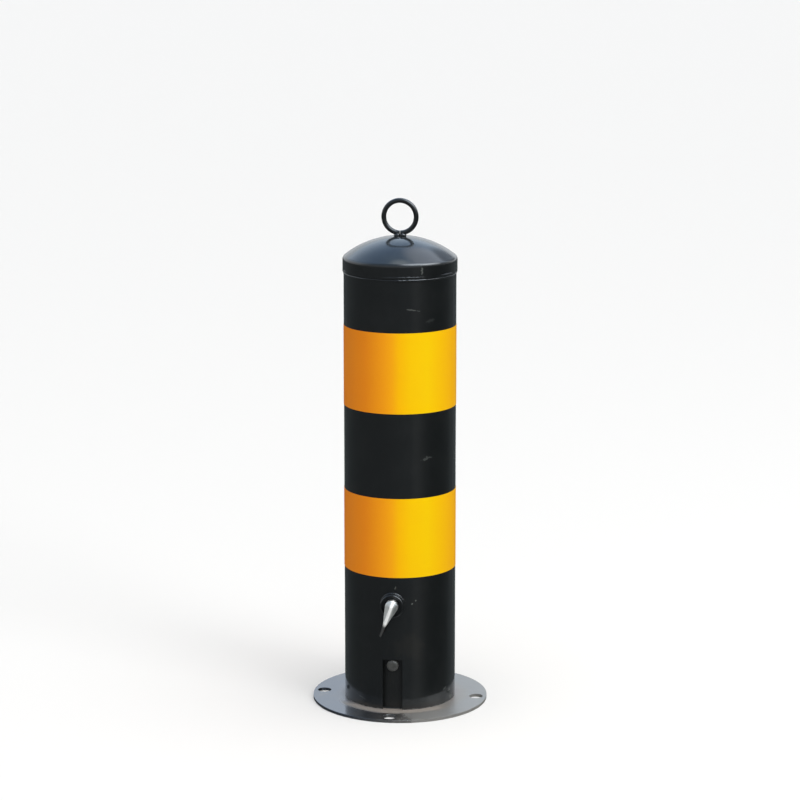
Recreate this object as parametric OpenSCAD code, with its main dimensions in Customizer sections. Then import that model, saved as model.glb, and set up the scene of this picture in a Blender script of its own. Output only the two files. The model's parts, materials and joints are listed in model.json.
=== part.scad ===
// Removable steel bollard. A capped tube with a lifting ring drops over a bolted-down socket,
// and a hook inside the tube swings under the socket's cross bar to lock it.
// The origin is the centre of the base flange's underside, and the cross bar runs along Y.

/* [Post] */
// Outside diameter of the post tube
post_d = 114; // [104:1:130]
// Wall of the post tube
post_wall = 3; // [2:0.5:3.5]
// Height of the post tube from its lower rim to the cap's lower edge
post_h = 445; // [400:5:600]
// Width of the slot that the cross bar's front end stands in
slot_w = 20; // [16:1:26]

/* [Bands] */
// Height of one reflective band
band_h = 82; // [60:1:90]
// Black stretch below the lower band
band_first = 139.5; // [130:0.5:150]
// Black stretch between the two bands
band_gap = 87; // [60:1:90]
// Thickness of the reflective film
film_t = 0.25; // [0.15:0.05:0.4]

/* [Cap and ring] */
// Radius of the domed top
dome_r = 90; // [80:1:120]
// Depth of the cap's straight skirt over the tube
skirt_h = 11.5; // [6:0.5:16]
// Sheet thickness of the dome
cap_t = 1.5; // [1:0.25:2.5]
// Outside diameter of the lifting ring
ring_d = 37.8; // [30:0.2:60]
// Rod diameter of the lifting ring
ring_rod = 5; // [4:0.5:8]

/* [Base] */
// Diameter of the base flange
flange_d = 180; // [170:5:220]
// Thickness of the base flange
flange_t = 3; // [2:0.5:6]
// Diameter of the bolt circle
bolt_circle_d = 159; // [150:1:160]
// Diameter of the anchor bolt holes
bolt_hole_d = 14; // [9:1:14]
// Outside diameter of the socket tube
socket_d = 104; // [94:1:104]
// Wall of the socket tube
socket_wall = 3; // [2:0.5:4]
// Height of the socket tube above the flange
socket_h = 58; // [54:1:70]
// Diameter of the cross bar
bar_d = 12; // [10:0.5:12]
// Height of the cross bar's centre above the flange
bar_up = 46.5; // [40:0.5:48]

/* [Lock] */
// Height of the lock's axis above the post's lower rim
lock_up = 111; // [105:1:120]
// Outside diameter of the lock collar
collar_d = 24; // [22:1:30]
// How far the collar stands out of the post
collar_out = 6.5; // [4:0.5:10]
// Diameter of the lock spindle
spindle_d = 10; // [9:0.5:12]
// Length of the lever from the spindle's axis to its tip
lever_l = 34; // [25:1:45]
// Thickness of the hook plate
hook_t = 5; // [4:0.5:8]
// How far the hook is swung clear of the bar, in degrees
unlock_angle = 20; // [18:1:22]

/* [Hidden] */
$fn = 96;

black = [0.10, 0.11, 0.12];
yellow = [0.96, 0.66, 0.04];
steel = [0.66, 0.67, 0.69];
bright = [0.84, 0.85, 0.86];

post_r = post_d / 2;
post_bore_r = post_r - post_wall;
socket_r = socket_d / 2;
socket_bore_r = socket_r - socket_wall;
bar_r = bar_d / 2;

// Levels above the ground, with the post standing on the flange
rim_z = flange_t;
bar_z = flange_t + bar_up;
slot_top_z = bar_z + bar_r + 0.3;
lock_z = rim_z + lock_up;
skirt_z = rim_z + post_h;
lower_band_z = rim_z + band_first;
upper_band_z = lower_band_z + band_h + band_gap;

// The dome meets the skirt in a rounded edge, outside and inside
cap_r = post_r + 1;
edge_r = 5;
edge_z = skirt_z + skirt_h;
dome_z = edge_z - sqrt(pow(dome_r - edge_r, 2) - pow(cap_r - edge_r, 2));
dome_rim_r = (cap_r - edge_r) * dome_r / (dome_r - edge_r);
apex_z = dome_z + dome_r;
inner_edge_r = edge_r - cap_t;
inner_rim_r = (post_r - inner_edge_r) * (dome_r - cap_t) / (dome_r - edge_r);
tube_top_z = edge_z - 0.3;

ring_line_r = (ring_d - ring_rod) / 2;
ring_z = apex_z + 0.5 + ring_d / 2;
ring_gap_angle = 3;

bar_out = post_r + 1.5;
bar_edge = 3;
rim_edge = 0.8;
foot_leg = 1.5;
bead = 3;

// The lock's parts along Y, from the lever in front to the nut inside the post
collar_face_y = -post_r - collar_out;
seat_y = collar_face_y + 5.5;
bush_end_y = -24;
thrust_y = bush_end_y + 0.2;
hook_y = thrust_y + 1.5;
washer_y = hook_y + hook_t;
nut_y = washer_y + 1.5;
stud_end_y = nut_y + 7;
collar_r = collar_d / 2;
bush_r = 10;
collar_wall = 1.5;
running_gap = 0.05;
spindle_r = spindle_d / 2;
tenon_r = 4;
tenon_front_y = collar_face_y - 2.5;
square_w = 7;
stud_r = 3;
hub_r = 6.75;
lever_back_y = collar_face_y - 0.5;
pin_r = 1.25;
pin_y = seat_y - 3;

// The hook's jaw is cut round the spindle's axis, so that it swings past the bar without lifting
bar_drop = lock_z - bar_z;
jaw_top_r = bar_drop - bar_r - 1;
jaw_low_r = bar_drop + bar_r + 1.5;
lip_r = jaw_low_r + 5;
hook_hub_r = 14;

// A point at a distance from the lock's axis and at an angle to the left of straight down.
// In the plates' own plane X points right and Y points down.
function down_left(r, angle) = [-r * sin(angle), r * cos(angle)];

// Turns +Z to +Y, so that a profile's height is its place along Y
module along_y() {
    rotate([-90, 0, 0]) children();
}

// Places an outline in the lock's plane, turned to the unlocked rest position
module in_lock_plane(y, thickness) {
    translate([0, y, lock_z])
        along_y()
            rotate([0, 0, unlock_angle])
                linear_extrude(thickness) children();
}

module tube(outer_r, inner_r, height) {
    difference() {
        cylinder(r = outer_r, h = height);
        translate([0, 0, -1]) cylinder(r = inner_r, h = height + 2);
    }
}

module base_flange() {
    color(steel)
        difference() {
            cylinder(r = flange_d / 2, h = flange_t);
            for (angle = [0:90:270])
                rotate([0, 0, angle])
                    translate([bolt_circle_d / 2, 0, -1])
                        cylinder(d = bolt_hole_d, h = flange_t + 2);
        }
}

// Tube with its upper rim chamfered, so that the post finds its way on
module base_socket() {
    color(black)
        difference() {
            translate([0, 0, flange_t])
                rotate_extrude()
                    polygon([
                        [socket_bore_r, 0],
                        [socket_r, 0],
                        [socket_r, socket_h - rim_edge],
                        [socket_r - rim_edge, socket_h],
                        [socket_bore_r + rim_edge / 2, socket_h],
                        [socket_bore_r, socket_h - rim_edge / 2]
                    ]);
            translate([0, -socket_d, bar_z]) along_y() cylinder(r = bar_r, h = socket_d);
        }
}

// Fillet weld round the socket's foot, kept clear of the post's bore
module foot_weld() {
    color(black)
        translate([0, 0, flange_t])
            rotate_extrude()
                polygon([[socket_r, 0], [socket_r + foot_leg, 0], [socket_r, foot_leg]]);
}

// The bar's front end is rounded and stands out of the socket, into the post's slot. Its back end
// is shaped to the socket's inner wall.
module cross_bar() {
    color(steel)
        intersection() {
            translate([0, 0, bar_z]) along_y() bar_with_round_front();
            translate([0, 0, flange_t])
                union() {
                    cylinder(r = socket_bore_r, h = socket_h);
                    translate([-socket_r, -post_d, 0]) cube([socket_d, post_d, socket_h]);
                }
        }
}

module bar_with_round_front() {
    rotate_extrude() {
        translate([0, bar_edge - bar_out]) square([bar_r, bar_out - bar_edge + socket_r]);
        translate([0, -bar_out]) square([bar_r - bar_edge, bar_out]);
        intersection() {
            translate([bar_r - bar_edge, bar_edge - bar_out]) circle(r = bar_edge, $fn = 48);
            translate([0, -bar_out]) square([bar_r, bar_out]);
        }
    }
}

// Weld beads round the bar where it meets the socket's inner wall
module bar_welds() {
    color(steel)
        for (side = [0, 180])
            rotate([0, 0, side])
                intersection() {
                    translate([0, 0, bar_z])
                        along_y()
                            rotate_extrude()
                                polygon([
                                    [bar_r, socket_bore_r - bead - 1],
                                    [bar_r + bead, socket_bore_r - 1],
                                    [bar_r + bead, socket_r],
                                    [bar_r, socket_r]
                                ]);
                    translate([0, 0, flange_t]) cylinder(r = socket_bore_r, h = socket_h);
                }
}

module post_tube() {
    color(black)
        difference() {
            translate([0, 0, rim_z]) tube(post_r, post_bore_r, tube_top_z - rim_z);
            translate([-slot_w / 2, -post_d, rim_z - 1])
                cube([slot_w, post_d, slot_top_z - rim_z + 1]);
            translate([0, -post_d, lock_z]) along_y() cylinder(r = collar_r, h = post_d);
        }
}

// Half section of the cap's outside or inside: dome, rounded edge and straight skirt
module cap_section(dome, rim, edge, skirt, low_z) {
    intersection() {
        translate([0, dome_z]) circle(r = dome, $fn = 360);
        translate([0, low_z]) square([rim, dome_r]);
    }
    translate([0, low_z]) square([skirt, edge_z - low_z]);
    translate([skirt - edge, edge_z]) circle(r = edge, $fn = 48);
}

// Pressed cap with a domed top and a straight skirt over the tube
module cap() {
    color(black)
        rotate_extrude($fn = 128)
            difference() {
                cap_section(dome_r, dome_rim_r, edge_r, cap_r, skirt_z);
                cap_section(dome_r - cap_t, inner_rim_r, inner_edge_r, post_r, skirt_z - 1);
            }
}

// Thin bead under the skirt's lower edge
module cap_weld() {
    color(black)
        translate([0, 0, skirt_z])
            rotate_extrude()
                polygon([[post_r, -1.8], [post_r + 0.6, -1.4], [post_r + 0.9, 0], [post_r, 0]]);
}

// A rod bent to a ring, with a narrow gap where its two ends meet at the foot
module lifting_ring() {
    color(black)
        translate([0, 0, ring_z])
            rotate([90, 0, 0])
                rotate([0, 0, ring_gap_angle / 2 - 90])
                    rotate_extrude(angle = 360 - ring_gap_angle)
                        translate([ring_line_r, 0]) circle(d = ring_rod, $fn = 48);
}

// Two weld lumps, run together, that hold the ends of the ring on the dome
module ring_weld() {
    color(black)
        difference() {
            for (side = [-1, 1])
                translate([side * 2.9, 0, apex_z + 0.4]) sphere(r = 3.4, $fn = 48);
            translate([0, 0, dome_z]) sphere(r = dome_r, $fn = 360);
            translate([0, 0, ring_z])
                rotate([90, 0, 0])
                    rotate_extrude() translate([ring_line_r, 0]) circle(d = ring_rod, $fn = 48);
        }
}

module band(z) {
    color(yellow)
        translate([0, 0, z]) tube(post_r + film_t, post_r, band_h);
}

module upper_band() {
    band(upper_band_z);
}

module lower_band() {
    band(lower_band_z);
}

// Welded through the post wall: a recess in front for the lever's hub and a long bush behind
module lock_collar() {
    color(black)
        translate([0, 0, lock_z])
            along_y()
                rotate_extrude()
                    polygon([
                        [spindle_r + running_gap, bush_end_y],
                        [bush_r, bush_end_y],
                        [bush_r, -post_bore_r + 4],
                        [collar_r, -post_bore_r + 4],
                        [collar_r, collar_face_y + 0.5],
                        [collar_r - 0.5, collar_face_y],
                        [collar_r - collar_wall, collar_face_y],
                        [collar_r - collar_wall, seat_y],
                        [spindle_r + running_gap, seat_y]
                    ]);
}

// Fillet weld round the collar, on the curved wall of the post
module collar_weld() {
    color(black)
        difference() {
            translate([0, 0, lock_z])
                along_y()
                    rotate_extrude($fn = 128)
                        polygon([
                            [collar_r, -post_r - 1.8],
                            [collar_r + 1.8, -post_r],
                            [collar_r + 1.8, -post_bore_r],
                            [collar_r, -post_bore_r]
                        ]);
            cylinder(r = post_r, h = 2 * lock_z, $fn = 360);
        }
}

// Turned shaft: a tenon in the lever, the journal, a square for the hook and a stud for the nut
module lock_spindle() {
    color(steel)
        difference() {
            union() {
                translate([0, 0, lock_z])
                    along_y()
                        rotate_extrude()
                            polygon([
                                [0, tenon_front_y],
                                [tenon_r, tenon_front_y],
                                [tenon_r, seat_y - 0.3],
                                [spindle_r, seat_y - 0.3],
                                [spindle_r, hook_y],
                                [stud_r, hook_y],
                                [stud_r, stud_end_y - 0.5],
                                [stud_r - 0.5, stud_end_y],
                                [0, stud_end_y]
                            ]);
                in_lock_plane(hook_y, hook_t) square(square_w, center = true);
            }
            lever_pin_shape(4 * hub_r);
        }
}

module lever_pin_shape(length) {
    translate([0, pin_y, lock_z])
        rotate([0, unlock_angle, 0])
            rotate([0, 90, 0])
                cylinder(r = pin_r, h = length, center = true, $fn = 32);
}

module lever_pin() {
    color(steel) lever_pin_shape(2 * hub_r - 1);
}

// One crowned boss of the lever, at a distance down its arm
module lever_boss(distance, r, thickness) {
    translate([0, distance, 0]) {
        translate([0, 0, -0.6 * thickness]) cylinder(r = r, h = 0.6 * thickness, $fn = 32);
        translate([0, 0, -thickness]) cylinder(r = 0.6 * r, h = thickness, $fn = 32);
    }
}

// Teardrop lever with a round hub, tapering to a thin tail
module lock_lever() {
    color(bright)
        difference() {
            union() {
                translate([0, 0, lock_z])
                    along_y()
                        rotate_extrude()
                            polygon([
                                [0, lever_back_y - 5],
                                [hub_r - 1.5, lever_back_y - 5],
                                [hub_r, lever_back_y - 3.5],
                                [hub_r, seat_y - 0.3],
                                [0, seat_y - 0.3]
                            ]);
                translate([0, lever_back_y, lock_z])
                    along_y()
                        rotate([0, 0, unlock_angle]) {
                            hull() {
                                lever_boss(0, hub_r - 0.3, 4.8);
                                lever_boss(0.62 * lever_l, 1.7, 2.8);
                            }
                            hull() {
                                lever_boss(0.62 * lever_l, 1.7, 2.8);
                                lever_boss(lever_l - 1.1, 1.1, 1.8);
                            }
                        }
            }
            translate([0, tenon_front_y, lock_z])
                along_y() cylinder(r = tenon_r, h = post_r);
            lever_pin_shape(4 * hub_r);
        }
}

// Washer on the journal between the bush's end and the hook
module thrust_washer() {
    color(steel)
        translate([0, thrust_y, lock_z])
            along_y() tube(9, spindle_r + 0.1, hook_y - thrust_y);
}

// Plate that hangs from the spindle: an arm on the left and a lip that swings under the bar
module hook_outline() {
    difference() {
        union() {
            circle(r = hook_hub_r);
            intersection() {
                circle(r = lip_r);
                polygon([
                    [-hook_hub_r, 0],
                    down_left(jaw_low_r - 6, 15),
                    down_left(lip_r + 3, 9),
                    down_left(lip_r + 3, -8),
                    down_left(jaw_top_r + 3, -8),
                    down_left(jaw_top_r + 3, 6.5),
                    [3, hook_hub_r - 0.5]
                ]);
            }
        }
        intersection() {
            difference() {
                circle(r = jaw_low_r);
                circle(r = jaw_top_r);
            }
            polygon([[0, 0], down_left(2 * lip_r, 6.5), down_left(2 * lip_r, -30)]);
        }
        square(square_w, center = true);
    }
}

module lock_hook() {
    color(steel) in_lock_plane(hook_y, hook_t) hook_outline();
}

module hook_washer() {
    color(steel)
        translate([0, washer_y, lock_z])
            along_y() tube(7, stud_r + 0.2, nut_y - washer_y);
}

module hook_nut() {
    color(steel)
        in_lock_plane(nut_y, 5)
            difference() {
                circle(d = 11.5, $fn = 6);
                circle(r = stud_r);
            }
}

base_flange();
base_socket();
foot_weld();
cross_bar();
bar_welds();
post_tube();
cap();
cap_weld();
lifting_ring();
ring_weld();
upper_band();
lower_band();
lock_collar();
collar_weld();
lock_spindle();
lock_lever();
lever_pin();
thrust_washer();
lock_hook();
hook_washer();
hook_nut();
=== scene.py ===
# %% [markdown]
# # A removable bollard
# A black steel post with two reflective bands drops over a socket that is bolted to the ground.
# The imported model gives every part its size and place. This lesson dresses it: real finishes on
# the parts that keep their shape, and modelled pieces where the real surface is not a plain solid,
# such as weld beads, wrapped film and a cast lever.

# %% Load the frame
import json
import math

import bmesh
import bpy
from mathutils import Matrix, Vector, noise


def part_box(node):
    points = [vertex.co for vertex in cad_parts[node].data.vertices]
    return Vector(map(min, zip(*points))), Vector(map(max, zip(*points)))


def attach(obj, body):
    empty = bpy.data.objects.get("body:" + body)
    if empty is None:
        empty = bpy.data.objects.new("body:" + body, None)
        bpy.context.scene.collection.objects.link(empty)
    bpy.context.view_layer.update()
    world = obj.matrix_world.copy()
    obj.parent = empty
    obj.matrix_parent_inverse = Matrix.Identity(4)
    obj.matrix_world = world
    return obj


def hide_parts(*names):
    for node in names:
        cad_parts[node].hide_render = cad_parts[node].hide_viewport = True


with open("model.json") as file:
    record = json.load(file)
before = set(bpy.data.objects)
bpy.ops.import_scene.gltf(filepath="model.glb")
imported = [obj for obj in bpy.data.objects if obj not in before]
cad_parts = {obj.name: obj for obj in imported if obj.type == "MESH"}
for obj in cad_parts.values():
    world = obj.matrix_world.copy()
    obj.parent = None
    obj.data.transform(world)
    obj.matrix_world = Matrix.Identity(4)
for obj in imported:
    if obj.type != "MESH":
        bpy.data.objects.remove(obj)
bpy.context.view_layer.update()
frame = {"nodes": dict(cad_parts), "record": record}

# %% [markdown]
# ## Sizes read from the frame
# The post's radius, its lower rim, the lock's axis and the levels of the cap and the bar all come
# from the boxes of the nodes, so the pieces below land on the metal that carries them. What a
# box can't tell, such as the radii of the lever, is named where it is first needed.

# %% Sizes
MM = 0.001

tube_low, tube_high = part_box("post_tube")
socket_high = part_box("base_socket")[1]
flange_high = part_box("base_flange")[1]
cap_low, cap_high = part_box("cap")
collar_low, collar_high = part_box("lock_collar")
bar_low, bar_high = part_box("cross_bar")

post_r = tube_high.x
rim_z = tube_low.z
skirt_z = cap_low.z
apex_z = cap_high.z
cap_r = cap_high.x
socket_r = socket_high.x
socket_top_z = socket_high.z
plate_top_z = flange_high.z
lock_z = (collar_low.z + collar_high.z) / 2
collar_r = (collar_high.x - collar_low.x) / 2
collar_face_y = collar_low.y
bar_z = (bar_low.z + bar_high.z) / 2
bar_r = (bar_high.z - bar_low.z) / 2
print(f"post radius {post_r:.4f}, lock axis {lock_z:.4f}, apex {apex_z:.4f}")

# %% [markdown]
# ## The camera
# The photograph was taken from about eye level with a long lens, so the verticals stay parallel.
# The lens and the place were worked out from the outlines of the tube, the bands and the flange.
# The camera looks at the post's axis from 7.8 degrees to the right of the lock.

# %% Camera
VIEW_AZIMUTH = math.radians(7.8)
VIEW_PITCH = math.radians(11.815)
VIEW_DISTANCE = 2.7154
EYE_HEIGHT = 0.8824
SENSOR_WIDTH = 36
LENS = 122.64

camera = bpy.data.objects.new("camera", bpy.data.cameras.new("camera"))
camera.data.sensor_width = SENSOR_WIDTH
camera.data.lens = LENS
camera.location = (
    VIEW_DISTANCE * math.sin(VIEW_AZIMUTH),
    -VIEW_DISTANCE * math.cos(VIEW_AZIMUTH),
    EYE_HEIGHT,
)
camera.rotation_euler = (math.pi / 2 - VIEW_PITCH, 0, VIEW_AZIMUTH)
bpy.context.scene.collection.objects.link(camera)
bpy.context.scene.camera = camera
print("camera at", [round(c, 3) for c in camera.location])

# %% [markdown]
# ## Small helpers for shader nodes
# A material is a chain of nodes. Writing each node as one call keeps the recipe of a finish
# readable: the inputs are either numbers, set on the socket itself, or the output of another node.

# %% Node helpers
def feed(tree, node, inputs):
    for name, value in inputs.items():
        if isinstance(value, bpy.types.NodeSocket):
            tree.links.new(value, node.inputs[name])
        else:
            node.inputs[name].default_value = value


def add_node(tree, kind, inputs=None, **settings):
    made = tree.nodes.new(kind)
    for name, value in settings.items():
        setattr(made, name, value)
    feed(tree, made, inputs or {})
    return made


def split(tree, vector):
    return add_node(tree, "ShaderNodeSeparateXYZ", {"Vector": vector}).outputs


def noise_value(tree, place, scale, detail=3.0, roughness=0.5):
    inputs = {"Vector": place, "Scale": scale, "Detail": detail, "Roughness": roughness}
    return add_node(tree, "ShaderNodeTexNoise", inputs).outputs["Fac"]


def spread(tree, value, low, high, to_low, to_high, shape="SMOOTHSTEP"):
    inputs = {"Value": value, "From Min": low, "From Max": high, "To Min": to_low, "To Max": to_high}
    made = add_node(tree, "ShaderNodeMapRange", inputs, interpolation_type=shape)
    return made.outputs["Result"]


def combine(tree, operation, first, second):
    return add_node(tree, "ShaderNodeMath", {0: first, 1: second}, operation=operation).outputs[0]


def vector_number(tree, operation, *vectors):
    inputs = dict(enumerate(vectors))
    return add_node(tree, "ShaderNodeVectorMath", inputs, operation=operation).outputs["Value"]


print("value helpers ready")

# %% [markdown]
# ## Helpers for colours and relief
# These three blend two colours by a share, turn a value into a colour by a ramp of stops, and turn
# a height into the small tilts of the surface that the eye reads as relief.

# %% Colour and relief helpers
def blend_colour(tree, share, first, second):
    inputs = {"Factor": share, 6: first, 7: second}
    return add_node(tree, "ShaderNodeMix", inputs, data_type="RGBA").outputs[2]


def colour_ramp(tree, value, *steps):
    made = add_node(tree, "ShaderNodeValToRGB", {"Fac": value})
    stops = made.color_ramp.elements
    stops[0].position, stops[0].color = steps[0][0], (*steps[0][1], 1)
    stops[1].position, stops[1].color = steps[-1][0], (*steps[-1][1], 1)
    for position, colour in steps[1:-1]:
        stops.new(position).color = (*colour, 1)
    return made.outputs["Color"]


def relief(tree, height, distance, strength=1.0, normal=None):
    inputs = {"Height": height, "Distance": distance, "Strength": strength}
    if normal is not None:
        inputs["Normal"] = normal
    return add_node(tree, "ShaderNodeBump", inputs).outputs["Normal"]


print("colour and relief helpers ready")

# %% [markdown]
# ## The floor
# The photograph is cut out on plain white, so the stage is a wide pale floor under a sky of nearly
# the same white. It is hidden from mirror rays: what the paint mirrors is set in the next steps.

# %% Floor
FLOOR_HALF = 60

floor_mesh = bpy.data.meshes.new("floor")
bm = bmesh.new()
bmesh.ops.create_grid(bm, x_segments=1, y_segments=1, size=FLOOR_HALF)
bm.to_mesh(floor_mesh)
bm.free()
floor = bpy.data.objects.new("floor", floor_mesh)
bpy.context.scene.collection.objects.link(floor)
floor_pale = bpy.data.materials.new("floor_pale")
floor_pale.use_nodes = True
tree = floor_pale.node_tree
inputs = {"Base Color": (0.86, 0.86, 0.86, 1), "Roughness": 0.9, "Specular IOR Level": 0.1}
feed(tree, tree.nodes["Principled BSDF"], inputs)
floor_mesh.materials.append(floor_pale)
floor.visible_glossy = False
print("floor", 2 * FLOOR_HALF, "metres wide")

# %% [markdown]
# ## What the paint mirrors
# Gloss paint shows little of itself and much of what stands round it. So what it mirrors is kept
# apart from what lights the scene: mirror rays see a blue-white sky above, darker in front, with a
# few clouds, and dim ground below, with one paler patch on the right. The post stays black while
# its dome shines. A lit backdrop could do the same, but a sky needs no extra objects.

# %% Mirrored sky
SKY_IN_FRONT = (0.05, 0.055, 0.06, 1)

world = bpy.data.worlds.new("studio")
bpy.context.scene.world = world
world.use_nodes = True
tree = world.node_tree
tree.nodes.clear()
direction = add_node(tree, "ShaderNodeTexCoord").outputs["Generated"]
parts = split(tree, direction)
sky = colour_ramp(
    tree,
    spread(tree, parts["Z"], -1, 1, 0, 1, "LINEAR"),
    (0.47, (0.037, 0.043, 0.045)),
    (0.52, (0.38, 0.40, 0.42)),
    (0.655, (0.44, 0.47, 0.50)),
    (0.72, (0.50, 0.60, 0.72)),
    (0.86, (0.27, 0.38, 0.54)),
    (0.94, (0.19, 0.29, 0.46)),
    (0.985, (0.20, 0.31, 0.47)),
    (1.0, (0.85, 0.95, 1.0)),
)
in_front = spread(tree, parts["Y"], -0.05, -0.40, 0, 0.65)
mirrored = blend_colour(tree, in_front, sky, SKY_IN_FRONT)
print("mirrored sky ready")

# %% [markdown]
# ## Clouds and patches
# Each patch is a soft round spot, set by the angle between its middle and the mirror ray. Two
# bright clouds draw the light line along the foot of the dome, a pale spot and a dark one shape
# its shoulder, and a faint pale patch of ground lies on the right.

# %% Clouds and patches
PATCHES = (
    # direction, edge and middle as cosines, colour, share
    ((0.42, -0.32, 0.85), 0.89, 0.995, (2.0, 2.2, 2.4), 0.95),
    ((0.80, -0.10, 0.58), 0.90, 0.995, (3.0, 3.2, 3.4), 0.95),
    ((0.75, -0.63, -0.20), 0.93, 0.985, (1.0, 1.0, 0.96), 0.035),
    ((0.36, 0.45, 0.81), 0.90, 0.97, (0.66, 0.72, 0.82), 0.75),
    ((0.44, 0.79, 0.42), 0.935, 0.98, (0.06, 0.07, 0.09), 0.8),
)
for way, edge, middle, colour, share in PATCHES:
    toward = vector_number(tree, "DOT_PRODUCT", direction, Vector(way).normalized())
    patch = spread(tree, toward, edge, middle, 0, share)
    mirrored = blend_colour(tree, patch, mirrored, (*colour, 1))
print("patches in the mirrored sky and ground:", len(PATCHES))

# %% [markdown]
# ## Three kinds of rays
# The camera sees plain near-white behind the part. Mirror rays see the sky made above, dimmed at
# the far right. Every other ray sees an even grey, which fills the shadows.

# %% Surroundings
MIRROR_STRENGTH = 2.5


def glow(tree, colour, strength=1.0):
    inputs = {"Color": colour, "Strength": strength}
    return add_node(tree, "ShaderNodeBackground", inputs).outputs[0]


def choose(tree, share, first, second):
    return add_node(tree, "ShaderNodeMixShader", {0: share, 1: first, 2: second}).outputs[0]


by_side = colour_ramp(
    tree,
    spread(tree, parts["X"], -1, 1, 0, 1, "LINEAR"),
    (0.0, (0.72, 0.72, 0.72)),
    (0.5, (0.84, 0.84, 0.84)),
    (0.7, (1.0, 1.0, 1.0)),
    (0.85, (0.90, 0.90, 0.90)),
    (0.92, (0.42, 0.42, 0.42)),
    (1.0, (0.20, 0.20, 0.20)),
)
around = glow(tree, mirrored, combine(tree, "MULTIPLY", by_side, MIRROR_STRENGTH))
fill = glow(tree, (0.62, 0.62, 0.615, 1))
seen = glow(tree, (0.97, 0.97, 0.965, 1))
ray = add_node(tree, "ShaderNodeLightPath").outputs
lit = choose(tree, ray["Is Glossy Ray"], fill, around)
add_node(tree, "ShaderNodeOutputWorld", {"Surface": choose(tree, ray["Is Camera Ray"], lit, seen)})
print("surroundings ready")

# %% [markdown]
# ## The lamps
# Product photographs are lit softly. A very wide sun from above gives the even light and the faint
# shadow round the foot, and one large lamp on the right makes that side of the bands brighter.

# %% Lamps
AIM = Vector((0, 0, 0.27))


def lamp(name, kind, energy, place, colour=(1, 1, 1), **settings):
    data = bpy.data.lights.new(name, kind)
    data.energy = energy
    data.color = colour
    for setting, value in settings.items():
        setattr(data, setting, value)
    made = bpy.data.objects.new(name, data)
    made.location = place
    made.rotation_euler = (AIM - Vector(place)).to_track_quat("-Z", "Y").to_euler()
    made.visible_glossy = False
    bpy.context.scene.collection.objects.link(made)


lamp("overhead", "SUN", 1.45, (0.4, -0.3, 3), angle=math.radians(60))
lamp("key", "AREA", 26, (2.1, -1.5, 1.3), (1, 0.99, 0.96), shape="RECTANGLE", size=1.2, size_y=1.6)
bpy.context.scene.view_settings.view_transform = "Standard"
print("lamps ready")

# %% [markdown]
# ## Helpers for finishes
# Every finish is worked out from the point's own place on the part, in metres. A worn place is an
# ellipsoid that touches the surface, frayed by noise, which works on a curved wall from any side.
# The corners of the solids are rounded by a few tenths of a millimetre in the shading, since no
# cut or cast edge is truly sharp.

# %% Finish helpers
def new_finish(name):
    finish = bpy.data.materials.new(name)
    finish.use_nodes = True
    tree = finish.node_tree
    shader = tree.nodes["Principled BSDF"]
    place = add_node(tree, "ShaderNodeTexCoord").outputs["Object"]
    return finish, tree, shader, place


def soft_edges(tree, radius=0.35 * MM):
    return add_node(tree, "ShaderNodeBevel", {"Radius": radius}, samples=4).outputs["Normal"]


def uneven(tree, place, scale, detail, swing, roughness=0.5):
    return spread(tree, noise_value(tree, place, scale, detail, roughness), 0.3, 0.7, -swing, swing)


def worn_place(tree, place, centre, half_size, turn, tilt, fray, fineness, soft=0.3):
    local = add_node(
        tree,
        "ShaderNodeMapping",
        {"Vector": place, "Location": centre, "Rotation": (0, tilt, turn), "Scale": half_size},
        vector_type="TEXTURE",
    ).outputs[0]
    ragged = spread(tree, noise_value(tree, place, fineness, 2.0), 0.25, 0.75, -fray, fray)
    reach = combine(tree, "ADD", vector_number(tree, "LENGTH", local), ragged)
    return spread(tree, reach, 1.0, 1.0 - soft, 0.0, 1.0)


def either(tree, masks):
    joined = masks[0]
    for mask in masks[1:]:
        joined = combine(tree, "MAXIMUM", joined, mask)
    return joined


def axis_distance(tree, parts):
    flat = add_node(tree, "ShaderNodeCombineXYZ", {"X": parts["X"], "Y": parts["Y"], "Z": 0.0})
    return vector_number(tree, "LENGTH", flat.outputs[0])


print("finish helpers ready")

# %% [markdown]
# ## Black gloss paint
# The post is sprayed with a near-black gloss enamel. Up close such paint is never flat: the sheet
# under it waves a little, the paint dries with a fine orange peel, and hands leave duller patches.
# The clear coat carries the shine and the body colour stays almost black, slightly green.

# %% Enamel
WAVE_HEIGHT = 0.6 * MM
PEEL_HEIGHT = 0.012 * MM


def enamel(tree, shader, place, colour, dull, gloss):
    peel = noise_value(tree, place, 500, 2.0)
    wave = noise_value(tree, place, 24, 1.0)
    hands = noise_value(tree, place, 38, 4.0, 0.55)
    waved = relief(tree, wave, WAVE_HEIGHT, 1.0, soft_edges(tree))
    surface = relief(tree, peel, PEEL_HEIGHT, 1.0, waved)
    inputs = {
        "Normal": surface,
        "Coat Normal": surface,
        "Coat Weight": 1.0,
        "Coat IOR": 1.62,
        "Coat Roughness": spread(tree, hands, 0.35, 0.8, gloss, gloss + 0.10),
        "Specular IOR Level": 0.25,
        "Roughness": 0.45,
    }
    feed(tree, shader, inputs)
    return blend_colour(tree, spread(tree, hands, 0.4, 0.8, 0, 1), colour, dull)


def on_post(height, degrees, out=0.0):
    angle = math.radians(degrees)
    reach = post_r + out
    return (reach * math.sin(angle), -reach * math.cos(angle), rim_z + height * MM)


print("enamel ready; a point on the post:", [round(c, 4) for c in on_post(413, 19)])

# %% [markdown]
# ## Marks on the post
# The photograph shows a short scratch near the top, a grey smudge between the bands, a nick down
# the cap's skirt, chips at the lower right edge and beside the lock, and dust above the slot. Each
# mark has its height above the lower rim and its half sizes in millimetres, its angle round from
# the lock, its tilt, and its depth: how much primer or bare metal shows through.

# %% Marks
post_paint, tree, shader, place = new_finish("post_paint")

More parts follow.
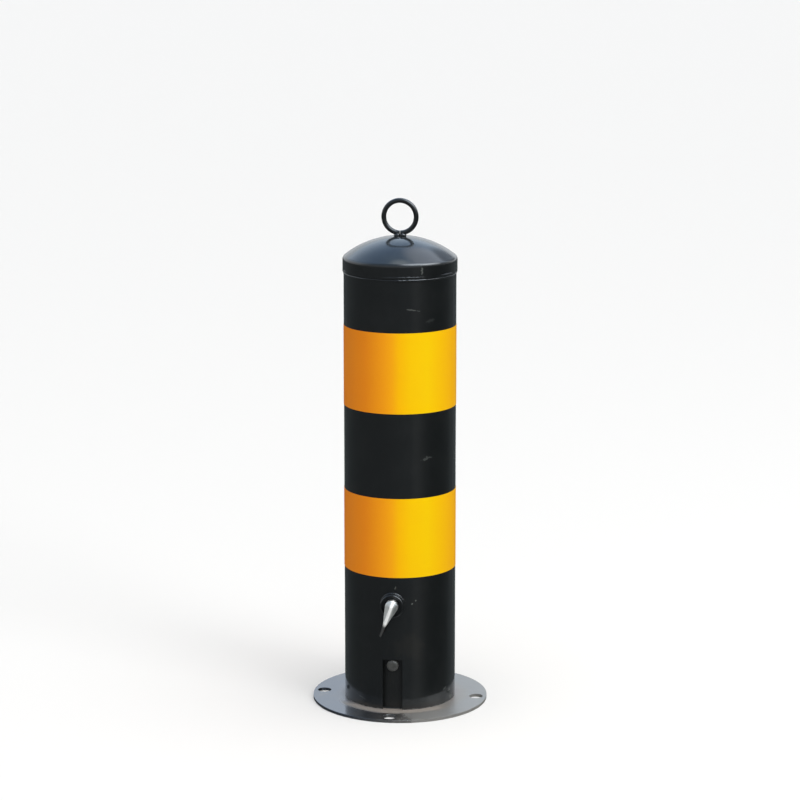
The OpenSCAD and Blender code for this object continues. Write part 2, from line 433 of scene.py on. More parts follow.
POST_MARKS = (
    # height, angle, half width, half height, tilt, depth
    (414, 19, 7.5, 0.7, 10, 0.18),
    (262, 36, 5.5, 1.8, -14, 0.12),
    (402, 40, 5.0, 1.6, -10, 0.05),
    (129, 3, 0.6, 1.6, 10, 0.20),
    (112, 20, 1.2, 1.0, 20, 0.28),
    (115, 24, 0.8, 0.8, 0, 0.25),
    (16, 62, 3.0, 1.0, -25, 0.16),
    (12, 70, 2.4, 2.2, 40, 0.20),
    (4, 74, 4.0, 2.2, 20, 0.22),
    (9, -36, 8.0, 0.8, 14, 0.07),
)
CAP_MARK = (453, 30, 1.2, 5.5, -3, 0.24)
CAP_OUT = 1.0 * MM
MARK_INTO_WALL = 2.0 * MM


def worn_mark(tree, place, height, degrees, half_w, half_h, tilt, depth, out=0.0):
    mark = worn_place(
        tree,
        place,
        on_post(height, degrees, out),
        (half_w * MM, MARK_INTO_WALL, half_h * MM),
        turn=math.radians(degrees),
        tilt=math.radians(tilt),
        fray=0.6,
        fineness=500,
    )
    return combine(tree, "MULTIPLY", mark, depth)


depths = [worn_mark(tree, place, *row) for row in POST_MARKS]
depths.append(worn_mark(tree, place, *CAP_MARK, out=CAP_OUT))
scuffed = either(tree, depths)
print("the post has", len(depths), "marks")

# %% [markdown]
# ## The post's paint put together
# Over the enamel come the dust above the slot, the marks, and a worn line along the lower rim,
# which knocks on the flange each time the post is put down. Where the paint is off, the clear coat
# is off too.

# %% Post paint
PRIMER = (0.30, 0.33, 0.31, 1)
DUST = (0.024, 0.021, 0.015, 1)
WORN_RIM = (0.20, 0.20, 0.20, 1)
RIM_WHOLE_FROM = 0.8 * MM
RIM_WORN_TO = 0.3 * MM

paint = enamel(tree, shader, place, (0.0040, 0.0052, 0.0055, 1), (0.0062, 0.0074, 0.0076, 1), 0.05)
dusty_place = worn_place(
    tree,
    place,
    on_post(66, 20),
    (20 * MM, 10 * MM, 25 * MM),
    turn=math.radians(20),
    tilt=0,
    fray=0.5,
    fineness=60,
    soft=0.9,
)
dusty = blend_colour(tree, combine(tree, "MULTIPLY", dusty_place, 0.22), paint, DUST)
chipped = blend_colour(tree, scuffed, dusty, PRIMER)
ragged = spread(tree, noise_value(tree, place, 300, 4.0), 0.3, 0.7, -0.6 * MM, 0.4 * MM)
level = combine(tree, "ADD", split(tree, place)["Z"], ragged)
rim_wear = spread(tree, level, rim_z + RIM_WHOLE_FROM, rim_z + RIM_WORN_TO, 0, 0.5)
bare = combine(tree, "MAXIMUM", scuffed, rim_wear)
inputs = {
    "Base Color": blend_colour(tree, rim_wear, chipped, WORN_RIM),
    "Coat Weight": spread(tree, bare, 0, 0.3, 1, 0.2),
}
feed(tree, shader, inputs)
print("the lower rim is worn below", round(rim_z + RIM_WHOLE_FROM, 4))

# %% [markdown]
# ## Black paint on the socket
# The socket has the same paint, a good deal duller. Its chamfered rim is worn bare where the post
# scrapes along it each time it drops on. The bare share also grows towards the front, which is
# painted light on the front of the rim and painted shade at the back.

# %% Base paint
SOCKET_WORN = (0.45, 0.44, 0.42, 1)
CHAMFER_WHOLE_TO = 1.3 * MM
CHAMFER_WORN_FROM = 0.6 * MM

base_paint, tree, shader, place = new_finish("base_paint")
paint = enamel(tree, shader, place, (0.0082, 0.0092, 0.0090, 1), (0.0100, 0.0110, 0.0106, 1), 0.30)
parts = split(tree, place)
level = combine(tree, "ADD", parts["Z"], uneven(tree, place, 200, 4.0, 0.6 * MM))
whole_z = socket_top_z - CHAMFER_WHOLE_TO
near_rim = spread(tree, level, whole_z, socket_top_z - CHAMFER_WORN_FROM, 0, 1)
# Painted light: the bare share is larger at the front of the rim and smaller at the back.
bare = combine(tree, "MULTIPLY", near_rim, spread(tree, parts["Y"], 0.02, -0.03, 0.05, 0.22))
inputs = {
    "Base Color": blend_colour(tree, bare, paint, SOCKET_WORN),
    "Metallic": bare,
    "Coat Weight": spread(tree, bare, 0, 1, 0.4, 0),
    "Roughness": spread(tree, bare, 0, 1, 0.45, 0.36),
}
feed(tree, shader, inputs)
print("the socket's rim is worn above", round(whole_z, 4))

# %% [markdown]
# ## Reflective film
# The bands are retroreflective film. Tiny glass beads under a clear face give it a fine sparkle,
# painted into the colour as lighter yellow specks. The colour turns from deep orange on the left to
# lemon on the right and darkens again at the far right edge: this is painted light, lemon where the
# bands are lit and orange in painted shade, a ramp across the post, with the bead grain and a few cloudy
# patches over it.

# %% Film
PAINTED_SPARKLE_TINT = (1.0, 0.62, 0.005, 1)
AGED_TINT = (0.70, 0.30, 0.01, 1)
FILM_WAVE_HEIGHT = 0.15 * MM
FILM_GRAIN_HEIGHT = 0.01 * MM

film, tree, shader, place = new_finish("reflective_film")
# Painted light: lemon on the lit right side, deep orange in shade on the left, darker again at the right
# edge.
painted_light_hue = colour_ramp(
    tree,
    spread(tree, split(tree, place)["X"], -post_r, post_r, 0, 1, "LINEAR"),
    (0.0, (0.68, 0.190, 0.009)),
    (0.10, (0.66, 0.190, 0.009)),
    (0.25, (0.72, 0.210, 0.009)),
    (0.42, (0.80, 0.290, 0.007)),
    (0.50, (0.83, 0.345, 0.005)),
    (0.56, (0.84, 0.430, 0.001)),
    (0.66, (0.82, 0.490, 0.0)),
    (0.80, (0.78, 0.495, 0.0)),
    (1.0, (0.72, 0.345, 0.0)),
)
grain = noise_value(tree, place, 1500, 2.0, 0.7)
cloud = noise_value(tree, place, 22, 3.0)
# Painted sparkle: lighter yellow specks where the bead grain is high.
with_painted_sparkle = blend_colour(tree, spread(tree, grain, 0.45, 0.75, 0, 0.12), painted_light_hue, PAINTED_SPARKLE_TINT)
waved = relief(tree, noise_value(tree, place, 60, 2.0), FILM_WAVE_HEIGHT)
inputs = {
    "Base Color": blend_colour(tree, spread(tree, cloud, 0.4, 0.8, 0, 0.10), with_painted_sparkle, AGED_TINT),
    "Roughness": spread(tree, cloud, 0.3, 0.7, 0.34, 0.46),
    "Coat Weight": 0.06,
    "Coat Roughness": 0.15,
    "Specular IOR Level": 0.03,
    "Normal": relief(tree, grain, FILM_GRAIN_HEIGHT, 1.0, waved),
}
feed(tree, shader, inputs)
print("film ready")

# %% [markdown]
# ## Heat colours on the flange
# The plate is bare steel. Welding the socket to it left a warm tint close to the foot, then straw,
# then grey; right at the foot that tint is also darker, as painted shade where the socket stands.
# The blue towards the left is a painted reflection of the sky. The distance from the post's axis
# gives the order of the colours, and noise keeps their borders from being perfect circles.

# %% Flange tints
HEAT_FROM = 50 * MM
HEAT_TO = 90 * MM
PAINTED_SKY_BLUE = (0.165, 0.188, 0.230, 1)
STAIN = (0.27, 0.26, 0.24, 1)

flange_steel, tree, shader, place = new_finish("flange_steel")
parts = split(tree, place)
from_axis = axis_distance(tree, parts)
patchy = uneven(tree, place, 35, 5.0, 4 * MM, 0.6)


def frayed(tree, value, by, share):
    return combine(tree, "ADD", value, combine(tree, "MULTIPLY", by, share))


# The first stop, darker right at the foot, is painted shade as well as heat tint.
heat = colour_ramp(
    tree,
    spread(tree, combine(tree, "ADD", from_axis, patchy), HEAT_FROM, HEAT_TO, 0, 1, "LINEAR"),
    (0.05, (0.34, 0.29, 0.27)),
    (0.20, (0.44, 0.38, 0.35)),
    (0.36, (0.44, 0.41, 0.37)),
    (0.55, (0.43, 0.42, 0.405)),
)
# Painted reflection: the plate turns blue towards the left, where it mirrors the sky.
sky_reflection_share = spread(tree, frayed(tree, parts["X"], patchy, 4.0), 10 * MM, -50 * MM, 0, 0.9)
with_painted_sky = blend_colour(tree, sky_reflection_share, heat, PAINTED_SKY_BLUE)
stains = spread(tree, noise_value(tree, place, 60, 6.0, 0.65), 0.5, 0.75, 0, 0.5)
tinted = blend_colour(tree, stains, with_painted_sky, STAIN)
print("heat colours from", HEAT_FROM, "to", HEAT_TO, "metres from the axis")

# %% [markdown]
# ## The flange's polish
# The plate is rubbed bright, with fine straight scratches. In front the polish is gone on the right,
# where the tube's dark reflection fades out. The scale along the foot is dull and pale, and on the
# left the plate beside the foot is painted dark as shade where the socket stands on it.

# %% Flange steel
DULL_STEEL = (0.23, 0.225, 0.21, 1)
PAINTED_FOOT_SHADE = (0.050, 0.055, 0.065, 1)
FOOT_SCALE = (0.36, 0.315, 0.275, 1)
SCRATCH_TURN = 0.5
SCRATCH_SCALE = (30, 1300, 1300)
SCRATCH_HEIGHT = 0.01 * MM

stroke = add_node(
    tree,
    "ShaderNodeMapping",
    {"Vector": place, "Rotation": (0, 0, SCRATCH_TURN), "Scale": SCRATCH_SCALE},
).outputs[0]
scratches = noise_value(tree, stroke, 1.0, 4.0, 0.65)
foot = frayed(tree, from_axis, patchy, 0.3)
forward = spread(tree, parts["Y"], -25 * MM, -48 * MM, 0.12, 0.8)
near_foot = combine(tree, "MULTIPLY", spread(tree, foot, 71.5 * MM, 64 * MM, 0, 1), forward)
dulled = spread(tree, frayed(tree, parts["X"], patchy, 3.0), 0, 30 * MM, 0, 0.5)
matte = combine(tree, "MAXIMUM", near_foot, dulled)
on_left = spread(tree, parts["X"], -25 * MM, -45 * MM, 0, 1)
# Painted shade: the plate beside the foot on the left is darkened.
foot_shade_share = combine(tree, "MULTIPLY", spread(tree, foot, 64 * MM, 53 * MM, 0, 0.8), on_left)
scaled = blend_colour(tree, dulled, tinted, DULL_STEEL)
with_painted_foot_shade = blend_colour(tree, foot_shade_share, scaled, PAINTED_FOOT_SHADE)
polish = spread(tree, scratches, 0.3, 0.7, 0.10, 0.20)
inputs = {
    "Base Color": blend_colour(tree, near_foot, with_painted_foot_shade, FOOT_SCALE),
    "Metallic": spread(tree, matte, 0, 1, 0.92, 0.1, "LINEAR"),
    "Roughness": combine(tree, "ADD", polish, combine(tree, "MULTIPLY", matte, 0.5)),
    "Normal": relief(tree, scratches, SCRATCH_HEIGHT, 0.5, soft_edges(tree)),
}
feed(tree, shader, inputs)
print("flange steel ready")

# %% [markdown]
# ## Bar and lock metals
# The bar is drawn steel, oversprayed with black near the socket's wall and on its end outside. The
# lock's inner parts are zinc plated. One function, with colour, tarnish and gloss as inputs, makes
# both and the lever's metal in the next step.

# %% Metals
METAL_GRAIN_HEIGHT = 0.02 * MM
OVERSPRAY = (0.014, 0.016, 0.015, 1)


def metal(name, colour, tarnish, gloss, grain_scale):
    finish, tree, shader, place = new_finish(name)
    cloud = noise_value(tree, place, 120, 5.0, 0.6)
    grain = noise_value(tree, place, grain_scale, 3.0, 0.6)
    shade = blend_colour(tree, spread(tree, cloud, 0.45, 0.75, 0, 1), colour, tarnish)
    inputs = {
        "Base Color": shade,
        "Metallic": 1.0,
        "Roughness": spread(tree, cloud, 0.3, 0.7, gloss, gloss + 0.15),
        "Normal": relief(tree, grain, METAL_GRAIN_HEIGHT, 0.6, soft_edges(tree, 0.2 * MM)),
    }
    feed(tree, shader, inputs)
    return finish, tree, shader, place, shade


bar_steel, tree, shader, place, shade = metal(
    "bar_steel", (0.34, 0.34, 0.33, 1), (0.16, 0.155, 0.145, 1), gloss=0.30, grain_scale=900
)
from_axis = axis_distance(tree, split(tree, place))
mist = uneven(tree, place, 160, 3.0, 4 * MM)
sprayed = spread(tree, combine(tree, "ADD", from_axis, mist), 34 * MM, 43 * MM, 0, 0.84)
inputs = {
    "Base Color": blend_colour(tree, sprayed, shade, OVERSPRAY),
    "Metallic": spread(tree, sprayed, 0, 1, 1, 0, "LINEAR"),
    "Specular IOR Level": 0.2,
}
feed(tree, shader, inputs)

lock_steel = metal(
    "lock_steel", (0.60, 0.60, 0.58, 1), (0.42, 0.41, 0.36, 1), gloss=0.30, grain_scale=1200
)[0]
print("two metals ready")

# %% [markdown]
# ## The lever's metal
# The lever is a bright plated casting. Its ridge carries a painted highlight, almost white, the
# flank on the right is painted darker grey as shade, and the thin tail is painted dark as shade. At
# rest the lever hangs 20 degrees left of straight down, so the masks are measured along and across that
# line.

# %% Lever metal
SWING = math.radians(20)
PAINTED_RIDGE_HIGHLIGHT = (0.97, 0.98, 0.97, 1)
PAINTED_FLANK_SHADE = (0.10, 0.11, 0.11, 1)
PAINTED_TAIL_SHADE = (0.016, 0.017, 0.017, 1)
down_arm = Vector((-math.sin(SWING), 0, -math.cos(SWING)))
across_arm = Vector((math.cos(SWING), 0, -math.sin(SWING)))

lever_bright, tree, shader, place, shade = metal(
    "lever_bright", (0.64, 0.66, 0.65, 1), (0.46, 0.48, 0.47, 1), gloss=0.36, grain_scale=500
)
from_hub = add_node(
    tree, "ShaderNodeVectorMath", {0: place, 1: (0, 0, lock_z)}, operation="SUBTRACT"
).outputs["Vector"]
along = vector_number(tree, "DOT_PRODUCT", from_hub, down_arm)
across = vector_number(tree, "DOT_PRODUCT", from_hub, across_arm)
# Painted highlight along the ridge, painted shade on the right flank and on the tail.
ridge_highlight_share = spread(tree, combine(tree, "ABSOLUTE", across, 0.0), 2.2 * MM, 1.0 * MM, 0, 1)
with_ridge_highlight = blend_colour(tree, ridge_highlight_share, shade, PAINTED_RIDGE_HIGHLIGHT)
flank_shade_share = spread(tree, across, 1.2 * MM, 4.4 * MM, 0, 0.7)
shaded = blend_colour(tree, flank_shade_share, with_ridge_highlight, PAINTED_FLANK_SHADE)
tail_shade_share = spread(tree, along, 18 * MM, 23 * MM, 0, 0.97)
plating = spread(tree, ridge_highlight_share, 0, 1, 0.6, 0.3)
inputs = {
    "Base Color": blend_colour(tree, tail_shade_share, shaded, PAINTED_TAIL_SHADE),
    "Metallic": combine(tree, "MULTIPLY", spread(tree, tail_shade_share, 0, 1, 1, 0), plating),
    "Specular IOR Level": 0.15,
}
feed(tree, shader, inputs)
print("the lever's metal ready")

# %% [markdown]
# ## Finishes on the parts that keep their shape
# The record names a material slot for every node, so the finishes are handed out by slot. The
# nodes' meshes stay as they are: only the material in their first slot changes.

# %% Hand out the finishes
FINISHES = {
    "post_paint": post_paint,
    "base_paint": base_paint,
    "reflective_film": film,
    "flange_steel": flange_steel,
    "bar_steel": bar_steel,
    "lock_steel": lock_steel,
    "lever_bright": lever_bright,
}
for subpart in frame["record"]["subparts"]:
    node = frame["nodes"][subpart["node"]]
    node.data.materials.clear()
    node.data.materials.append(FINISHES[subpart["material_slot"]])
print("finishes on", len(frame["nodes"]), "nodes")

# %% [markdown]
# ## From a bmesh to a piece
# Every new piece goes through the same last steps: doubles are merged, the faces are turned
# outwards, edges sharper than an angle stay crisp, and the piece is told which body carries it.
# Three small helpers draw a closed line of edges and pick out what an operator has just made.

# %% Finish a piece
MERGE = 0.002 * MM


def settle(bm, name, body, slot, stands_for=(), sharp=40):
    bmesh.ops.remove_doubles(bm, verts=bm.verts, dist=MERGE)
    bmesh.ops.recalc_face_normals(bm, faces=bm.faces)
    mesh = bpy.data.meshes.new(name)
    bm.to_mesh(mesh)
    bm.free()
    mesh.shade_smooth()
    mesh.set_sharp_from_angle(angle=math.radians(sharp))
    mesh.materials.append(FINISHES[slot])
    piece = bpy.data.objects.new(name, mesh)
    bpy.context.scene.collection.objects.link(piece)
    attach(piece, body)
    if stands_for:
        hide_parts(*stands_for)
    print(f"{name}: {len(mesh.polygons)} faces on {body}")


def closed_line(bm, points):
    corners = [bm.verts.new(point) for point in points]
    return [bm.edges.new((corners[i - 1], corners[i])) for i in range(len(corners))]


def new_verts(made):
    return [part for part in made if isinstance(part, bmesh.types.BMVert)]


def new_edges(made, between):
    edges = [part for part in made if isinstance(part, bmesh.types.BMEdge)]
    return [edge for edge in edges if all(vert in between for vert in edge.verts)]


print("piece helpers ready")

# %% [markdown]
# ## Wrapped film
# A real band is a strip of film, wrapped once round the tube and lapped over its own start at the
# back. Extruding the strip's thin section step by step round the post makes the same thing. In
# the last two steps before the lap the strip climbs by its own thickness, so the lap is a real
# edge that catches the light.

# %% Bands
STEPS_ROUND = 144
LAP_STEPS = 2
CLIMB_STEPS = 2


def wrapped_film(name, node):
    low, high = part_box(node)
    thick = high.x - post_r
    edge = 0.3 * thick
    climb = 1 + thick / CLIMB_STEPS / post_r
    bm = bmesh.new()
    profile = (
        (post_r, low.z),
        (post_r + thick - edge, low.z),
        (post_r + thick, low.z + edge),
        (post_r + thick, high.z - edge),
        (post_r + thick - edge, high.z),
        (post_r, high.z),
    )
    section = closed_line(bm, [(0, out, up) for out, up in profile])
    bmesh.ops.edgeloop_fill(bm, edges=section)
    turn = Matrix.Rotation(2 * math.pi / STEPS_ROUND, 3, "Z")
    for step in range(STEPS_ROUND + LAP_STEPS):
        made = bmesh.ops.extrude_edge_only(bm, edges=section)["geom"]
        moved = new_verts(made)
        section = new_edges(made, moved)
        bmesh.ops.rotate(bm, verts=moved, cent=(0, 0, 0), matrix=turn)
        if STEPS_ROUND - CLIMB_STEPS <= step < STEPS_ROUND:
            bmesh.ops.scale(bm, verts=moved, vec=(climb, climb, 1))
    bmesh.ops.edgeloop_fill(bm, edges=section)
    settle(bm, name, "post", "reflective_film", (node,), sharp=30)


wrapped_film("film_band_upper", "upper_band")
wrapped_film("film_band_lower", "lower_band")

# %% [markdown]
# ## Weld beads
# A hand-laid bead is a row of overlapping puddles. A small circle spun round the joint gives the
# run of metal, and its skin is then pushed in and out in even ripples, with a little noise so that
# no two puddles are alike. Part of each bead lies inside the metal it joins, as a real one does.

# %% Bead round a joint
def bead_ring(radius, height, thick, sides=12, steps=360):
    bm = bmesh.new()
    place = Matrix.Translation((radius, 0, height)) @ Matrix.Rotation(math.pi / 2, 4, "X")
    bmesh.ops.create_circle(bm, segments=sides, radius=thick, matrix=place)
    bmesh.ops.spin(
        bm,
        geom=bm.verts[:] + bm.edges[:],
        cent=(0, 0, 0),
        axis=(0, 0, 1),
        angle=2 * math.pi,
        steps=steps,
        use_merge=True,
    )
    return bm


def ripple(bm, radius, height, pitch, depth, roughness):
    puddles = round(2 * math.pi * radius / pitch)
    for vert in bm.verts:
        angle = math.atan2(vert.co.y, vert.co.x)
        middle_line = Vector((radius * math.cos(angle), radius * math.sin(angle), height))
        out = (vert.co - middle_line).normalized()
        coin = abs(math.sin(0.5 * puddles * angle)) - 0.6
        vert.co += out * (depth * coin + roughness * noise.noise(vert.co * 240))


print("bead helpers ready")

# %% [markdown]
# ## The bead at the socket's foot
# The socket is welded to the plate all the way round. The bead is painted with the socket, so it
# shows only as a thin uneven line.

# %% Foot bead
bm = bead_ring(socket_r, plate_top_z, thick=1.0 * MM)
ripple(bm, socket_r, plate_top_z, pitch=2.8 * MM, depth=0.2 * MM, roughness=0.2 * MM)
settle(bm, "foot_bead", "base", "base_paint", ("foot_weld",))

# %% [markdown]
# ## Seam of the cap
# The photograph shows two pale lines round the foot of the cap, each only here and there: the weld
# under the skirt, filled over with paint, and a hem pressed into the skirt a little above it. Both
# hardly stand out except where the run of metal swells, and there the upper flank mirrors the sky.
# A span gives the angles, round from the lock, between which the metal swells, and how much.

# %% Cap seam
BEAD_SPANS = ((-2, 38, 1.0), (64, 80, 0.3), (150, 178, 0.8))
HEM_SPANS = ((-12, 34, 0.5), (50, 74, 1.0), (-75, -58, 0.6), (-150, -110, 0.8))
FADE_DEGREES = 8
WAVER = 0.5 * MM


def swelling(point, spans):
    degrees = math.degrees(math.atan2(point.x, -point.y))
    share = 0.0
    for first, last, most in spans:
        rise = min(max((degrees - first) / FADE_DEGREES, 0), 1)
        fall = min(max((last - degrees) / FADE_DEGREES, 0), 1)
        share = max(share, most * (rise * fall))
    return share


def seam(radius, height, thick, reach, spans):
    bm = bead_ring(radius, height, thick, sides=16)
    for vert in bm.verts:
        way = Vector((vert.co.x, vert.co.y, 0)).normalized()
        swell = swelling(vert.co, spans) * (0.7 + 0.5 * noise.noise(way * 14))
        vert.co += way * reach * (swell + 0.15 * noise.noise(way * 30))
        vert.co.z += WAVER * noise.noise(way * 5)
    return bm


bm = seam(post_r - 0.9 * MM, skirt_z - 1.7 * MM, thick=1.3 * MM, reach=1.3 * MM, spans=BEAD_SPANS)
settle(bm, "cap_bead", "post", "post_paint", ("cap_weld",))

bm = seam(cap_r - 1.0 * MM, skirt_z + 1.4 * MM, thick=1.0 * MM, reach=0.6 * MM, spans=HEM_SPANS)
settle(bm, "cap_hem", "post", "post_paint")

# %% [markdown]
# ## Beads on curved walls
# The bar meets the socket's round wall, and the lock's collar meets the post's. The bead is first
# spun round its own axis and then each point slides along that axis until it lies on the wall.

# %% Beads that follow a wall
SOCKET_WALL = 3 * MM
BACK = 1
FRONT = -1
socket_bore_r = socket_r - SOCKET_WALL


def bead_on_wall(radius, axis_z, wall_r, side, thick, pitch, depth, roughness):
    bm = bead_ring(radius, 0, thick, sides=14, steps=160)
    ripple(bm, radius, 0, pitch, depth, roughness)
    bmesh.ops.rotate(bm, verts=bm.verts, cent=(0, 0, 0), matrix=Matrix.Rotation(math.pi / 2, 3, "X"))
    for vert in bm.verts:
        vert.co.y += side * math.sqrt(wall_r**2 - vert.co.x**2)
        vert.co.z += axis_z
    return bm


bm = bead_on_wall(
    bar_r, bar_z, socket_bore_r, BACK, thick=2.9 * MM, pitch=6.0 * MM, depth=0.2 * MM, roughness=0.3 * MM
)
settle(bm, "bar_bead_back", "base", "bar_steel", ("bar_welds",), sharp=60)
bm = bead_on_wall(
    bar_r, bar_z, socket_bore_r, FRONT, thick=2.4 * MM, pitch=4.6 * MM, depth=0.3 * MM, roughness=0.3 * MM
)
settle(bm, "bar_bead_front", "base", "bar_steel", ("bar_welds",), sharp=60)
bm = bead_on_wall(
    collar_r, lock_z, post_r, FRONT, thick=1.0 * MM, pitch=2.4 * MM, depth=0.15 * MM, roughness=0.2 * MM
)
settle(bm, "collar_bead", "post", "post_paint", ("collar_weld",), sharp=60)

# %% [markdown]
# ## Weld lumps under the ring
# The ring is held by two blobs of weld that have run together on the crown of the dome. Each
# starts as a ball, is made uneven, and is cut off just under the dome's skin.

# %% Ring lumps
LUMP_R = 3.4 * MM
LUMP_SIDEWAYS = 2.9 * MM
LUMP_ABOVE = 0.5 * MM
LUMP_BELOW = 1.0 * MM
LUMP_UNEVEN = 0.4 * MM
LUMP_SHAPE = (1.0, 1.05, 0.9, 1)

bm = bmesh.new()
for side in (-1, 1):
    middle = Matrix.Translation((side * LUMP_SIDEWAYS, 0, apex_z + LUMP_ABOVE))
    shape = middle @ Matrix.Diagonal(LUMP_SHAPE)
    bmesh.ops.create_icosphere(bm, subdivisions=4, radius=LUMP_R, matrix=shape)
for vert in bm.verts:
    bulge = noise.noise(vert.co * 350) + 0.4 * noise.noise(vert.co * 1100)
    out = Vector((vert.co.x, vert.co.y, vert.co.z - apex_z)).normalized()
    vert.co += out * bulge * LUMP_UNEVEN
cut = bmesh.ops.bisect_plane(
    bm,
    geom=bm.verts[:] + bm.edges[:] + bm.faces[:],
    plane_co=(0, 0, apex_z - LUMP_BELOW),
    plane_no=(0, 0, -1),
    clear_outer=True,
)
rim = [part for part in cut["geom_cut"] if isinstance(part, bmesh.types.BMEdge)]
bmesh.ops.holes_fill(bm, edges=rim, sides=0)
settle(bm, "ring_lumps", "post", "post_paint", ("ring_weld",), sharp=60)

# %% [markdown]
# ## The lever's outline
# The lever is a small teardrop casting: a round hub in the collar, straight flanks that close in
# on a thin tail, and a ridge along its back. The outline is a circle for the hub, a straight line
# that touches it and the neck's circle, and a slow taper down to the round tail.

# %% Lever outline
HUB_R = 6.6 * MM
NECK_R = 1.6 * MM
NECK_AT = 21.0 * MM
TAIL_R = 1.0 * MM
TAIL_AT = 32.9 * MM
TAIL_HEIGHT = 1.5 * MM
RECESS = 0.5 * MM
CREST_CURVE = 0.85

lever_low, lever_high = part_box("lock_lever")
arm_back_y = collar_face_y - RECESS
hub_height = arm_back_y - lever_low.y
lean = math.asin((HUB_R - NECK_R) / NECK_AT)
flank_from = HUB_R * math.sin(lean)
flank_to = NECK_AT + NECK_R * math.sin(lean)


def half_width(along):
    if along < flank_from:
        return math.sqrt(max(HUB_R**2 - along**2, 0))
    if along < flank_to:
        share = (along - flank_from) / (flank_to - flank_from)
        return math.cos(lean) * (HUB_R + (NECK_R - HUB_R) * share)
    if along < TAIL_AT:
        share = (along - flank_to) / (TAIL_AT - flank_to)
        return NECK_R * math.cos(lean) * (1 - share) + TAIL_R * share
    return math.sqrt(max(TAIL_R**2 - (along - TAIL_AT) ** 2, 0))


def crest_height(along):
    share = min(max(along, 0) / TAIL_AT, 1)
    return hub_height + (TAIL_HEIGHT - hub_height) * share**CREST_CURVE


print("lever outline:", [round(half_width(s * MM) / MM, 1) for s in range(0, 34, 4)])

# %% [markdown]
# ## Points on the lever
# A point is given by its angle round the outline, its share of the way out from the spine, and
# its share of the rise to the ridge. The spine runs from the hub's middle to the tail's, so the
# rings of points close in on a ridge and not on a single point.

# %% Lever points
def lever_point(angle, share, rise):
    ends = (TAIL_AT + TAIL_R) if math.cos(angle) > 0 else HUB_R
    reach = ends * math.cos(angle)
    spine = min(max(reach, 0), TAIL_AT)
    along = spine + share * (reach - spine)
    across = share * math.copysign(half_width(reach), math.sin(angle))
    out = arm_back_y - rise * crest_height(along)
    return Vector((0, out, lock_z)) + down_arm * along + across_arm * across


def hub_point(angle, y):
    return Vector((0, y, lock_z)) + HUB_R * (down_arm * math.cos(angle) + across_arm * math.sin(angle))


print("the tip of the tail:", [round(c, 4) for c in lever_point(0, 1.0, 0.0)])

# %% [markdown]
# ## A skin grown ring by ring
# The lever and the nut are both rings of points, joined one to the next. Extruding the last
# ring's edges makes the new faces, and the new row is then moved to the next ring's points.

# %% Rings
def grow(bm, edges, row, ring):
    made = bmesh.ops.extrude_edge_only(bm, edges=edges)["geom"]
    fresh = new_verts(made)
    follows = {}
    for vert in fresh:
        for edge in vert.link_edges:
            if edge.other_vert(vert) in row:
                follows[edge.other_vert(vert)] = vert
    new_row = [follows[vert] for vert in row]
    for vert, point in zip(new_row, ring):
        vert.co = point
    return new_edges(made, fresh), new_row


def loft(rings, closed_start):
    bm = bmesh.new()
    edges = closed_line(bm, rings[0])
    if closed_start:
        bmesh.ops.edgeloop_fill(bm, edges=edges)
    row = bm.verts[:]
    for ring in rings[1:]:
        edges, row = grow(bm, edges, row, ring)
    return bm


print("ring helpers ready")

# %% [markdown]
# ## The lever's casting
# The casting grows from one circle. The circle is extruded out of the recess, stretched to the
# teardrop's outline where it leaves the hub, and then drawn together ring by ring up to the ridge,
# so the skin is one closed surface. Each row of the crown says how wide a ring still is and how
# far up it lies.

# %% Lever casting
SIDES_ROUND = 96
CROWN = (
    (1.0, 0.0),
    (1.0, 0.20),
    (0.96, 0.30),
    (0.76, 0.46),
    (0.48, 0.68),
    (0.18, 0.91),
    (0.06, 0.98),
    (0.0, 1.0),
)

angles = [2 * math.pi * (i + 0.5) / SIDES_ROUND for i in range(SIDES_ROUND)]
rings = [[hub_point(angle, y) for angle in angles] for y in (lever_high.y, arm_back_y)]
rings += [[lever_point(angle, share, rise) for angle in angles] for share, rise in CROWN]
bm = loft(rings, closed_start=True)
bmesh.ops.remove_doubles(bm, verts=bm.verts, dist=0.02 * MM)
settle(bm, "lever_casting", "lock", "lever_bright", ("lock_lever",), sharp=35)

# %% [markdown]
# ## The hook's nut
# The nut that holds the hook is a turned hexagon: both faces are chamfered on the lathe, which
# leaves the small arcs on its flats. So each ring of it is the smaller of a hexagon and a circle,
# and the circle widens away from the faces. The rings run down the outside and back up the bore.

# %% Hook nut
STUD_R = 3.0 * MM
BORE_CHAMFER = 0.5 * MM
FACE_STEPS = (0, 0.15, 0.3, 0.45, 0.65, 0.9)
FACE_SHARE = 0.97
CHAMFER_SLOPE = 1.7

nut_low, nut_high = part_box("hook_nut")
nut_flat = min(nut_high.x - nut_low.x, nut_high.z - nut_low.z) / 2
nut_deep = nut_high.y - nut_low.y


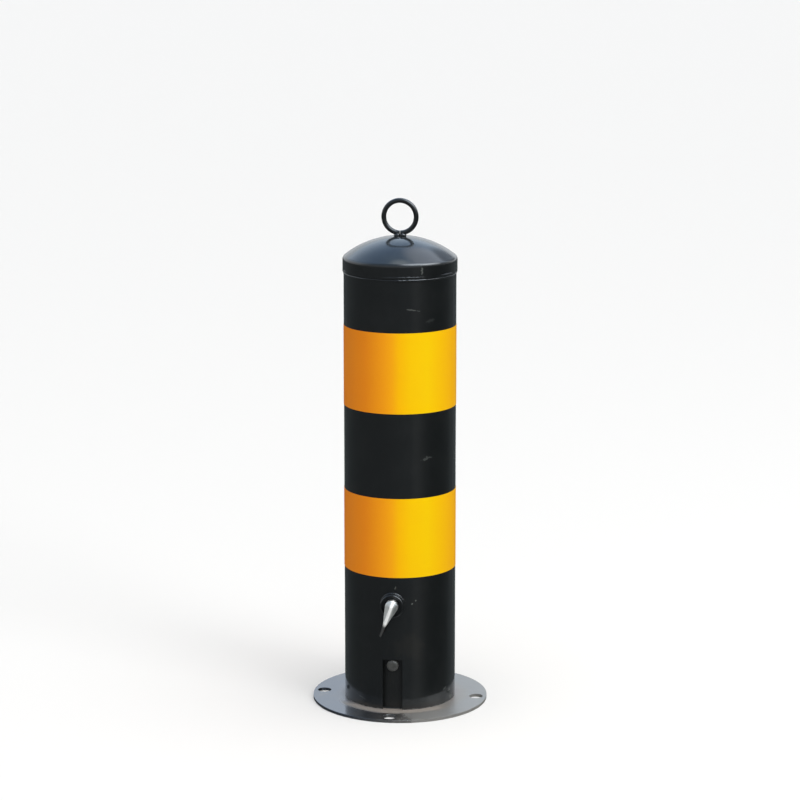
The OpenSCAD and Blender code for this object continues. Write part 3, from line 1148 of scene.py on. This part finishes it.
def nut_point(angle, back, hollow):
    from_face = min(back, nut_deep - back)
    if hollow:
        radius = STUD_R + max(BORE_CHAMFER - from_face, 0)
    else:
        flat_turn = (angle + math.pi / 6 + SWING) % (math.pi / 3) - math.pi / 6
        circle = FACE_SHARE * nut_flat + CHAMFER_SLOPE * from_face
        radius = min(nut_flat / math.cos(flat_turn), circle)
    return Vector((radius * math.sin(angle), nut_low.y + back, lock_z + radius * math.cos(angle)))


turns = [2 * math.pi * i / SIDES_ROUND for i in range(SIDES_ROUND)]
levels = [step * MM for step in FACE_STEPS] + [nut_deep - step * MM for step in reversed(FACE_STEPS)]
bores = [nut_deep, nut_deep - BORE_CHAMFER, BORE_CHAMFER, 0]
rings = [[nut_point(turn, back, False) for turn in turns] for back in levels]
rings += [[nut_point(turn, back, True) for turn in turns] for back in bores]
rings += [rings[0]]
settle(loft(rings, closed_start=False), "nut_chamfered", "lock", "lock_steel", ("hook_nut",), sharp=30)

# %% [markdown]
# ## The stud's thread
# The stud's thread stands out behind the nut by a turn or two, made the way it is cut, as one
# profile that runs round the stud while it moves along.

# %% Stud thread
THREAD_STEP = 1.0 * MM
THREAD_SIDES = 48
THREAD_ROOT = 0.2 * MM
THREAD_CREST = 0.25 * MM
THREAD_WIDE = 0.7 * MM
CLEAR_OF_NUT = 0.1 * MM
CLEAR_OF_END = 0.6 * MM

thread_from = nut_high.y + CLEAR_OF_NUT
thread_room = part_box("lock_spindle")[1].y - CLEAR_OF_END - thread_from
thread_turns = max(int(thread_room / THREAD_STEP * 10) / 10, 1)
thread_steps = int(THREAD_SIDES * thread_turns)
bm = bmesh.new()
profile = (
    (0, thread_from, lock_z + STUD_R - THREAD_ROOT),
    (0, thread_from + THREAD_WIDE / 2, lock_z + STUD_R + THREAD_CREST),
    (0, thread_from + THREAD_WIDE, lock_z + STUD_R - THREAD_ROOT),
)
section = closed_line(bm, profile)
bmesh.ops.edgeloop_fill(bm, edges=section)
last = bmesh.ops.spin(
    bm,
    geom=section,
    cent=(0, 0, lock_z),
    axis=(0, 1, 0),
    dvec=(0, THREAD_STEP * thread_turns / thread_steps, 0),
    angle=2 * math.pi * thread_turns,
    steps=thread_steps,
)["geom_last"]
bmesh.ops.edgeloop_fill(bm, edges=[part for part in last if isinstance(part, bmesh.types.BMEdge)])
settle(bm, "stud_thread", "lock", "lock_steel", (), sharp=30)
print("thread turns:", thread_turns)
